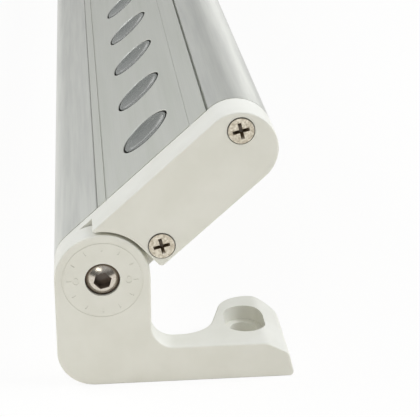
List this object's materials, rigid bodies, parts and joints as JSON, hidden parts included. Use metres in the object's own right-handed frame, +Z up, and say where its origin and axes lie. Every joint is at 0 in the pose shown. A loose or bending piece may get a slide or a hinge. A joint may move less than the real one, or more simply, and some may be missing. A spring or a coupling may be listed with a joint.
{
  "type": "linear floodlight",
  "caption": "Slim metal floodlight bar with a row of round lenses, end caps and two L brackets with angle dials, on which the bar tilts.",
  "frame": {"origin": "centre of the footprint, on the surface that the two brackets stand on", "axes": "+X along the lamp, towards the end seen in the picture; -Y towards the side that the lamp tilts forward to, +Y towards the brackets' feet; +Z up"},
  "size_m": [1.0016, 0.0895, 0.1064],
  "materials": {
    "anodised_aluminium": "satin anodised",
    "silicone_rubber": "matte",
    "stainless_steel": "turned",
    "potted_driver": "potted",
    "black_lead": "smooth",
    "white_nylon": "moulded",
    "nickel_plated_brass": "nickel plated",
    "black_rubber": "matte",
    "clear_acrylic": "moulded, clear",
    "white_board": "solder mask",
    "emitter_package": "silicone over phosphor",
    "white_powder_coat": "satin powder coat on a casting",
    "washer_nylon": "matte"
  },
  "bodies": {
    "bracket_right": {"bracket_right": "white_powder_coat", "friction_washer_right": "washer_nylon"},
    "lamp": {"housing_extrusion": "anodised_aluminium", "front_cover": "anodised_aluminium", "cover_gasket": "silicone_rubber", "board_screws": "stainless_steel", "driver_module": "potted_driver", "output_lead": "black_lead", "terminal_block": "white_nylon", "supply_lead": "black_lead", "supply_block": "white_nylon", "gland_body": "nickel_plated_brass", "gland_lock_nut": "nickel_plated_brass", "gland_seal": "black_rubber", "gland_dome_nut": "nickel_plated_brass", "lens_01": "clear_acrylic", "lens_02": "clear_acrylic", "lens_03": "clear_acrylic", "lens_04": "clear_acrylic", "lens_05": "clear_acrylic", "lens_06": "clear_acrylic", "lens_07": "clear_acrylic", "lens_08": "clear_acrylic", "lens_09": "clear_acrylic", "lens_10": "clear_acrylic", "lens_11": "clear_acrylic", "lens_12": "clear_acrylic", "lens_13": "clear_acrylic", "lens_14": "clear_acrylic", "lens_15": "clear_acrylic", "lens_16": "clear_acrylic", "lens_17": "clear_acrylic", "lens_18": "clear_acrylic", "led_board_1": "white_board", "led_emitters_1": "emitter_package", "led_board_2": "white_board", "led_emitters_2": "emitter_package", "led_board_3": "white_board", "led_emitters_3": "emitter_package", "board_connector_1": "white_nylon", "board_connector_2": "white_nylon", "end_cap_right": "white_powder_coat", "end_gasket_right": "silicone_rubber", "cap_screws_right": "stainless_steel", "pivot_bolt_right": "stainless_steel", "end_cap_left": "white_powder_coat", "end_gasket_left": "silicone_rubber", "cap_screws_left": "stainless_steel", "pivot_bolt_left": "stainless_steel"},
    "bracket_left": {"bracket_left": "white_powder_coat", "friction_washer_left": "washer_nylon"}
  },
  "joints": [
    {"name": "tilt", "type": "hinge", "parent": "bracket_right", "child": "lamp", "pos_m": [0.5, -0.02705, 0.0435], "axis": [1, 0, 0], "range_deg": [-45, 95]},
    {"name": "left_bracket_pivot", "type": "hinge", "parent": "lamp", "child": "bracket_left", "pos_m": [-0.5, -0.02705, 0.0435], "axis": [1, 0, 0], "range_deg": [-95, 45]}
  ],
  "couplings": [
    {"joint": "left_bracket_pivot", "follows": "tilt", "ratio": -1}
  ]
}
